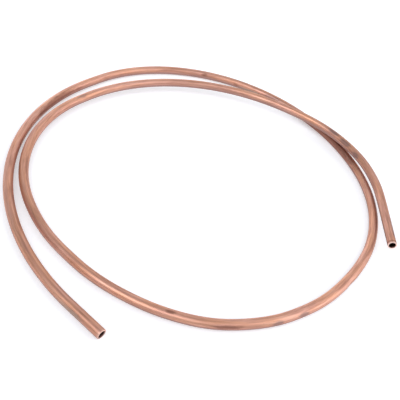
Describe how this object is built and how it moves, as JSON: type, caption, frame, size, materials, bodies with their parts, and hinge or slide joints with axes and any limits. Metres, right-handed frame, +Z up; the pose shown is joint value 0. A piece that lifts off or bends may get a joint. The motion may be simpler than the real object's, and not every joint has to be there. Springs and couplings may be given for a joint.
{
  "type": "copper tube coil",
  "caption": "Length of soft copper tube bent into a loose open coil, its cut ends left open.",
  "frame": {"origin": "centre of the bounding box in plan, on the floor the coil lies on", "axes": "+Z up; +Y along the straight length at the lower cut end, from the cut end into the coil"},
  "size_m": [0.2754, 0.2478, 0.0138],
  "materials": {
    "copper": "satin"
  },
  "bodies": {
    "root": {"copper_tube": "copper"}
  },
  "joints": []
}
